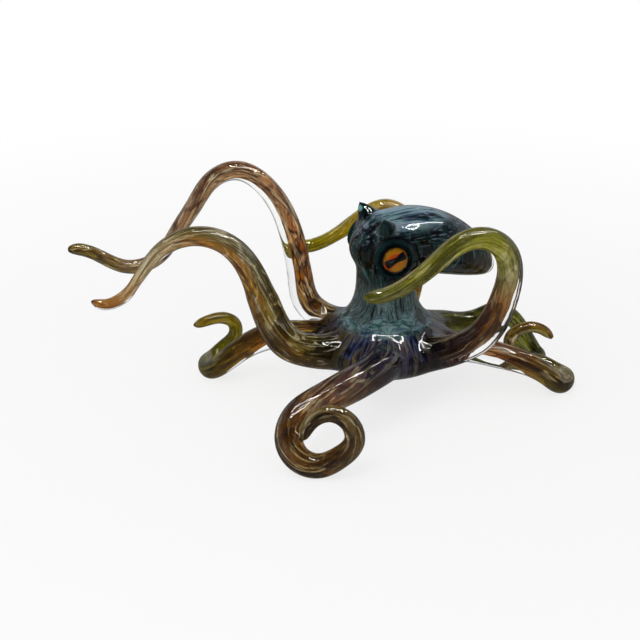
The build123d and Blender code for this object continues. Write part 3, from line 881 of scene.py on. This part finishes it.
for helper in arm_tubes + horn_meshes:
    bpy.data.meshes.remove(helper)

# Directions of the body's streaks. Heights and lengths are those of the surface before it is set back.
NECK_GRAIN_RADIUS = 20.0
from_hub = about_hub(core_places)
aside = from_hub @ np.array(lateral)
outward = np.hypot(from_hub[:, 0], from_hub[:, 1])
around = np.arctan2(from_hub[:, 1], from_hub[:, 0])
head_places = np.stack([ahead, aside, height], axis=1)
body_strand = np.stack([outward - height, NECK_GRAIN_RADIUS * np.cos(around),
                        NECK_GRAIN_RADIUS * np.sin(around)], axis=1)
set_attribute(core_mesh, "head_strand", head_places)
set_attribute(core_mesh, "body_strand", body_strand)
set_attribute(core_mesh, "outward", outward / WEB_RADIUS)

# Spans over which the body's colours change. The head's colours start higher on the neck's outside.
HEAD_SLANT = 0.25
HEAD_SPAN = (52, 66)
FACE_SPAN = (0, 8)
FLANK_SPAN = (86, 93)
CROWN_SPAN = (78, 88)
FOOT_INNER_SPAN = (14, 19)
FOOT_OUTER_SPAN = (21, 33)
FOOT_HEIGHT_SPAN = (33, 41)
EYE_RING_SPAN = (9.5, 15)
HORN_SPAN = (HORN_RADIUS - 2, HORN_RADIUS)
in_foot = ease(outward, *FOOT_INNER_SPAN) * fade(outward, *FOOT_OUTER_SPAN) * ease(height, *FOOT_HEIGHT_SPAN)
eye_gaps = [distances(core_places, eye_centre(side_name)) for side_name in SIDES]
horn_gaps = [distances(head_places, (ahead_at, side * aside_at, up_at))
             for side in SIDES.values() for ahead_at, aside_at, up_at in (HORN_FOOT, HORN_TIP)]
set_attribute(core_mesh, "on_head", ease(height + HEAD_SLANT * (NECK_GRAIN_RADIUS - outward), *HEAD_SPAN))
set_attribute(core_mesh, "dark_face", np.maximum(ease(ahead, *FACE_SPAN), fade(height, *FLANK_SPAN)))
set_attribute(core_mesh, "crown", ease(height, *CROWN_SPAN))
set_attribute(core_mesh, "pale_foot", in_foot)
set_attribute(core_mesh, "eye_ring", fade(np.min(eye_gaps, axis=0) / MM, *EYE_RING_SPAN))
set_attribute(core_mesh, "horn", fade(np.min(horn_gaps, axis=0), *HORN_SPAN))

# Turquoise patches on the far horn and at the brow, the glass's tint with a painted sheen on it, by places
# ahead, aside and above, and brown spots at the neck's foot, by places about the hub, each with its size
TURQUOISE_SHEEN_PATCHES = {(9.0, -12.6, 93.2): 2.3, (13.5, -11.5, 79.0): 5.0}
FOOT_SPOTS = {(-14.0, -8.0, 45.0): 7.0, (18.0, -8.0, 42.0): 6.0}
set_attribute(core_mesh, "turquoise_and_sheen", spotted(head_places, TURQUOISE_SHEEN_PATCHES))
set_attribute(core_mesh, "brown_foot", spotted(from_hub, FOOT_SPOTS))

# The web takes on an arm's colour, the second one of its upper side, where the arm leaves it
ROOT_BLEND = 5.0
ROOT_COLOUR_STOP = 1
ROOT_RINGS = slice(0, ARM_RINGS // 3, 2)
ROOT_TINT_SPAN = (0.55 * WEB_RADIUS, 0.95 * WEB_RADIUS)
SMALLEST_WEIGHT = 0.01
root_weights = np.zeros(len(core_places))
root_tints = np.zeros((len(core_places), 3))
for name, shape in arm_shapes.items():
    middle = shape.middle[None, ROOT_RINGS, :]
    gaps = np.linalg.norm(from_hub[:, None, :] - middle, axis=2) - shape.radii[None, ROOT_RINGS]
    weights = fade(np.min(gaps, axis=1), 0, ROOT_BLEND) * ease(outward, *ROOT_TINT_SPAN)
    root_code = ARM_COLOURS[name].upper[ROOT_COLOUR_STOP][1]
    root_tints += weights[:, None] * np.array(colour(root_code)[:3])
    root_weights += weights
root_tints /= np.maximum(root_weights, SMALLEST_WEIGHT)[:, None]
set_attribute(core_mesh, "near_root", np.clip(root_weights, 0, 1))
set_attribute(core_mesh, "root_tint", root_tints)
body_nodes = ["mantle", "neck", "web", "horn_left", "horn_right"]
new_piece("body_core", core_mesh, body_nodes,
          core_glass("body_glass", BODY_THROUGH, body_colour))

# Eyes: a black ring, an amber iris and a dark bar under the clear dome, in millimetres about the
# iris. Profiles are radius and height, and the bar's levels are a share of its size and a height.
EYE_TURN = math.radians(14)
EYE_LIFT = math.radians(8)
EYE_SEGMENTS = 64
IRIS_RADIUS = 6.2
SOCKET_PROFILE = [(0, -4.5), (9.0, -4.5), (9.6, -2.0), (9.0, -0.4), (7.8, 0.4), (6.9, 0.6), (6.3, 0.3),
                  (6.0, -0.5), (0, -0.5)]
IRIS_PROFILE = [(0, -0.6), (6.0, -0.6), (6.2, -0.2), (5.9, 0.1), (4.4, 0.4), (2.2, 0.55), (0, 0.6)]
PUPIL_TILT = math.radians(27)
PUPIL_LENGTH = 10.4
PUPIL_WIDTH = 2.9
PUPIL_WAIST_SHARE = 0.5
PUPIL_END_POWER = 0.65
PUPIL_SIDE_POWER = 0.5
PUPIL_LEVELS = [(0.0, 0.0), (1.0, 0.1), (1.0, 0.5), (0.8, 0.75), (0.4, 0.85), (0.0, 0.87)]


def eye_axes(side):
    """The directions of an eye: along its bar, across it, and outwards."""
    out = Matrix.Rotation(-side * EYE_TURN, 3, "Z") @ (lateral * side)
    level = UP.cross(out)
    out = Matrix.Rotation(-EYE_LIFT, 3, level) @ out
    bar = Matrix.Rotation(side * PUPIL_TILT, 3, out) @ level
    return bar, out.cross(bar), out


def eye_mesh(name, side, centre, rings):
    """A mesh of closed rings in an eye's own directions."""
    bar, across, out = eye_axes(side)
    points = [point for ring in rings for point in ring]
    mesh = bpy.data.meshes.new(name)
    mesh.from_pydata([centre + (bar * x + across * y + out * z) * MM for x, y, z in points], [],
                     ring_faces(len(rings), EYE_SEGMENTS))
    set_attribute(mesh, "eye_place", points)
    set_attribute(mesh, "eye_outward", [math.hypot(x, y) / IRIS_RADIUS for x, y, z in points])
    set_attribute(mesh, "eye_beside", [abs(y) / PUPIL_WIDTH for x, y, z in points])
    return mesh


def turned_rings(profile):
    """Rings of a turned shape from its profile of radius and height."""
    turns = [2 * math.pi * i / EYE_SEGMENTS for i in range(EYE_SEGMENTS)]
    return [[(r * math.cos(t), r * math.sin(t), z) for t in turns] for r, z in profile]


def pupil_rings():
    """Rings of the dark bar: a rounded slot, narrower at its waist than at its ends."""
    outline = []
    for i in range(EYE_SEGMENTS):
        turn = 2 * math.pi * i / EYE_SEGMENTS
        x = math.copysign(abs(math.cos(turn)) ** PUPIL_END_POWER, math.cos(turn)) * PUPIL_LENGTH / 2
        full = 1 - PUPIL_WAIST_SHARE * (1 - (2 * x / PUPIL_LENGTH) ** 2)
        y = math.copysign(abs(math.sin(turn)) ** PUPIL_SIDE_POWER, math.sin(turn)) * PUPIL_WIDTH * full
        outline.append((x, y))
    return [[(x * size, y * size, level) for x, y in outline] for size, level in PUPIL_LEVELS]


EYE_PIECES = {
    "socket": (turned_rings(SOCKET_PROFILE), "dark_glass", core_glass("ring_glass", EYE_THROUGH, ring_colour)),
    "iris": (turned_rings(IRIS_PROFILE), "iris_glass", core_glass("iris_glass", EYE_THROUGH, iris_colour)),
    "pupil": (pupil_rings(), "dark_glass", core_glass("pupil_glass", EYE_THROUGH, pupil_colour)),
}
for side_name, side in SIDES.items():
    for part, (rings, slot, material) in EYE_PIECES.items():
        node = "eye_" + side_name + "_" + part
        mesh = eye_mesh(node + "_glass", side, eye_centre(side_name), rings)
        new_piece(node + "_glass", mesh, [node], material)

# Floor: pale, with a light shadow, and greyer in the glass's reflections
FLOOR_SIZE = 8.0
FLOOR_COLOUR = "f8f8f8"
FLOOR_ROUGHNESS = 0.9
FLOOR_WHITE_SHARE = 0.74
FLOOR_IN_GLASS = "7c7c7c"
FLOOR_SHADOW_REACH = 0.15
FLOOR_WHITE_REACH = 0.5


def floor_material():
    """A white sweep that keeps part of the object's shadow."""
    material, n, shader = new_material("floor")
    shader.inputs["Base Color"].default_value = colour(FLOOR_COLOUR)
    shader.inputs["Roughness"].default_value = FLOOR_ROUGHNESS
    shader.inputs["Specular IOR Level"].default_value = 0.0
    white = n.add("ShaderNodeEmission")
    grey = n.add("ShaderNodeEmission")
    grey.inputs["Color"].default_value = colour(FLOOR_IN_GLASS)
    paths = n.add("ShaderNodeLightPath")
    seen = n.maths("MAXIMUM", paths.outputs["Is Camera Ray"], paths.outputs["Is Transmission Ray"])
    distance = n.add("ShaderNodeVectorMath", operation="LENGTH")
    n.feed(distance.inputs[0], n.add("ShaderNodeTexCoord").outputs["Object"])
    far = n.step(distance.outputs["Value"], FLOOR_SHADOW_REACH, FLOOR_WHITE_REACH)
    whiteness = n.plus(FLOOR_WHITE_SHARE, far, share=1 - FLOOR_WHITE_SHARE)
    shown_white = n.maths("MULTIPLY", seen, whiteness)
    pale = n.mix_shaders(shown_white, shader.outputs["BSDF"], white.outputs["Emission"])
    n.finish(n.mix_shaders(n.mirrored(paths), pale, grey.outputs["Emission"]))
    return material


half = FLOOR_SIZE / 2
floor_mesh = bpy.data.meshes.new("floor")
corners = [(-half, -half, 0), (half, -half, 0), (half, half, 0), (-half, half, 0)]
floor_mesh.from_pydata(corners, [], [(0, 1, 2, 3)])
floor_mesh.materials.append(floor_material())
floor = new_object("floor", floor_mesh)

# Room: even pale light, white behind the object. Through the glass and in its reflections the room
# is darker overhead, and to the sides or in front.
ROOM_LIGHT = 0.6
THROUGH_STOPS = [(0.3, "ffffff"), (0.6, "9a9fa5"), (1, "565a60")]
THROUGH_ASIDE = "6e7278"
MIRRORED_STOPS = [(0, "a8acb0"), (0.35, "b4bcc4"), (0.55, "4a5058"), (1, "202226")]
MIRRORED_FRONT = "1c1e22"


def light_room():
    """Gives the scene its room."""
    world = bpy.data.worlds.new("studio")
    bpy.context.scene.world = world
    world.use_nodes = True
    n = Nodes(world.node_tree)
    paths = n.add("ShaderNodeLightPath")
    direction = n.add("ShaderNodeSeparateXYZ")
    n.feed(direction.inputs["Vector"], n.add("ShaderNodeTexCoord").outputs["Generated"])
    to_side = n.step(n.maths("ABSOLUTE", direction.outputs["X"], 0), 0.55, 0.95)
    through_colour = n.mix(to_side, n.ramp(direction.outputs["Z"], THROUGH_STOPS), THROUGH_ASIDE, share=0.7)
    in_front = n.step(n.maths("MULTIPLY", direction.outputs["Y"], -1), -0.2, 0.5)
    mirrored_colour = n.ramp(direction.outputs["Z"], MIRRORED_STOPS)
    mirrored_colour = n.mix(in_front, mirrored_colour, MIRRORED_FRONT, share=0.85)
    through = paths.outputs["Is Transmission Ray"]
    mirrored = n.mirrored(paths)
    room_colour = n.mix(mirrored, n.mix(through, "ffffff", through_colour), mirrored_colour)
    seen = n.maths("MAXIMUM", paths.outputs["Is Camera Ray"], n.maths("MAXIMUM", through, mirrored))
    strength = n.add("ShaderNodeMapRange")
    strength.inputs["To Min"].default_value = ROOM_LIGHT
    strength.inputs["To Max"].default_value = 1.0
    n.feed(strength.inputs["Value"], seen)
    background = world.node_tree.nodes["Background"]
    n.feed(background.inputs["Color"], room_colour)
    n.feed(background.inputs["Strength"], strength.outputs["Result"])


light_room()

# Lamps: one soft lamp from the upper left, and strip lights that show only as highlights: a frame
# overhead, and one behind on the right for the ridge of the front arm
KEY_PLACE = Vector((-0.5, -0.6, 1.1))
KEY_SIZE = 0.9
KEY_WATTS = 6.0
FRAME_CENTRE = Vector((0.08, -0.05, 0.75))
FRAME_WIDTH = 0.6
FRAME_DEPTH = 0.3
STRIP_WIDTH = 0.035
STRIP_WATTS_PER_METRE = 3.4
RIDGE_STRIP_PLACE = Vector((0.44, 0.225, 0.75))
RIDGE_STRIP_LENGTH = 1.0
RIDGE_STRIP_WIDTH = 0.02
RIDGE_STRIP_TURN = math.radians(48.6)
RIDGE_STRIP_WATTS = 2.2


def add_lamp(name, place, width, depth, watts):
    """One flat lamp, facing down, that doesn't show through glass."""
    lamp = bpy.data.lights.new(name, "AREA")
    lamp.shape = "RECTANGLE"
    lamp.size = width
    lamp.size_y = depth
    lamp.energy = watts
    stand = new_object(name, lamp)
    stand.location = place
    stand.visible_transmission = False
    return stand


key = add_lamp("key", KEY_PLACE, KEY_SIZE, KEY_SIZE, KEY_WATTS)
key.rotation_euler = (-KEY_PLACE).to_track_quat("-Z", "Y").to_euler()
key.visible_glossy = False
strips = []
for side in (-1, 1):
    long_place = FRAME_CENTRE + Vector((0, side * FRAME_DEPTH / 2, 0))
    short_place = FRAME_CENTRE + Vector((side * FRAME_WIDTH / 2, 0, 0))
    long_watts = STRIP_WATTS_PER_METRE * FRAME_WIDTH
    short_watts = STRIP_WATTS_PER_METRE * FRAME_DEPTH
    strips.append(add_lamp("strip_long", long_place, FRAME_WIDTH, STRIP_WIDTH, long_watts))
    strips.append(add_lamp("strip_short", short_place, STRIP_WIDTH, FRAME_DEPTH, short_watts))
ridge_strip = add_lamp("strip_ridge", RIDGE_STRIP_PLACE, RIDGE_STRIP_LENGTH, RIDGE_STRIP_WIDTH,
                       RIDGE_STRIP_WATTS)
ridge_strip.rotation_euler = (0, 0, RIDGE_STRIP_TURN)
for strip in strips + [ridge_strip]:
    strip.visible_diffuse = False

# Camera: the photograph's own view
CAMERA_TARGET = Vector((-32.5, 0, 35.9)) * MM + hub
CAMERA_ELEVATION = math.radians(25)
CAMERA_DISTANCE = 0.889
CAMERA_LENS = 100
CAMERA_SENSOR = 36
camera_data = bpy.data.cameras.new("camera")
camera_data.lens = CAMERA_LENS
camera_data.sensor_width = CAMERA_SENSOR
camera = new_object("camera", camera_data)
back_and_up = Vector((0, -math.cos(CAMERA_ELEVATION), math.sin(CAMERA_ELEVATION)))
camera.location = CAMERA_TARGET + CAMERA_DISTANCE * back_and_up
camera.rotation_euler = (-back_and_up).to_track_quat("-Z", "Y").to_euler()
bpy.context.scene.camera = camera
bpy.context.scene.view_settings.view_transform = "Standard"
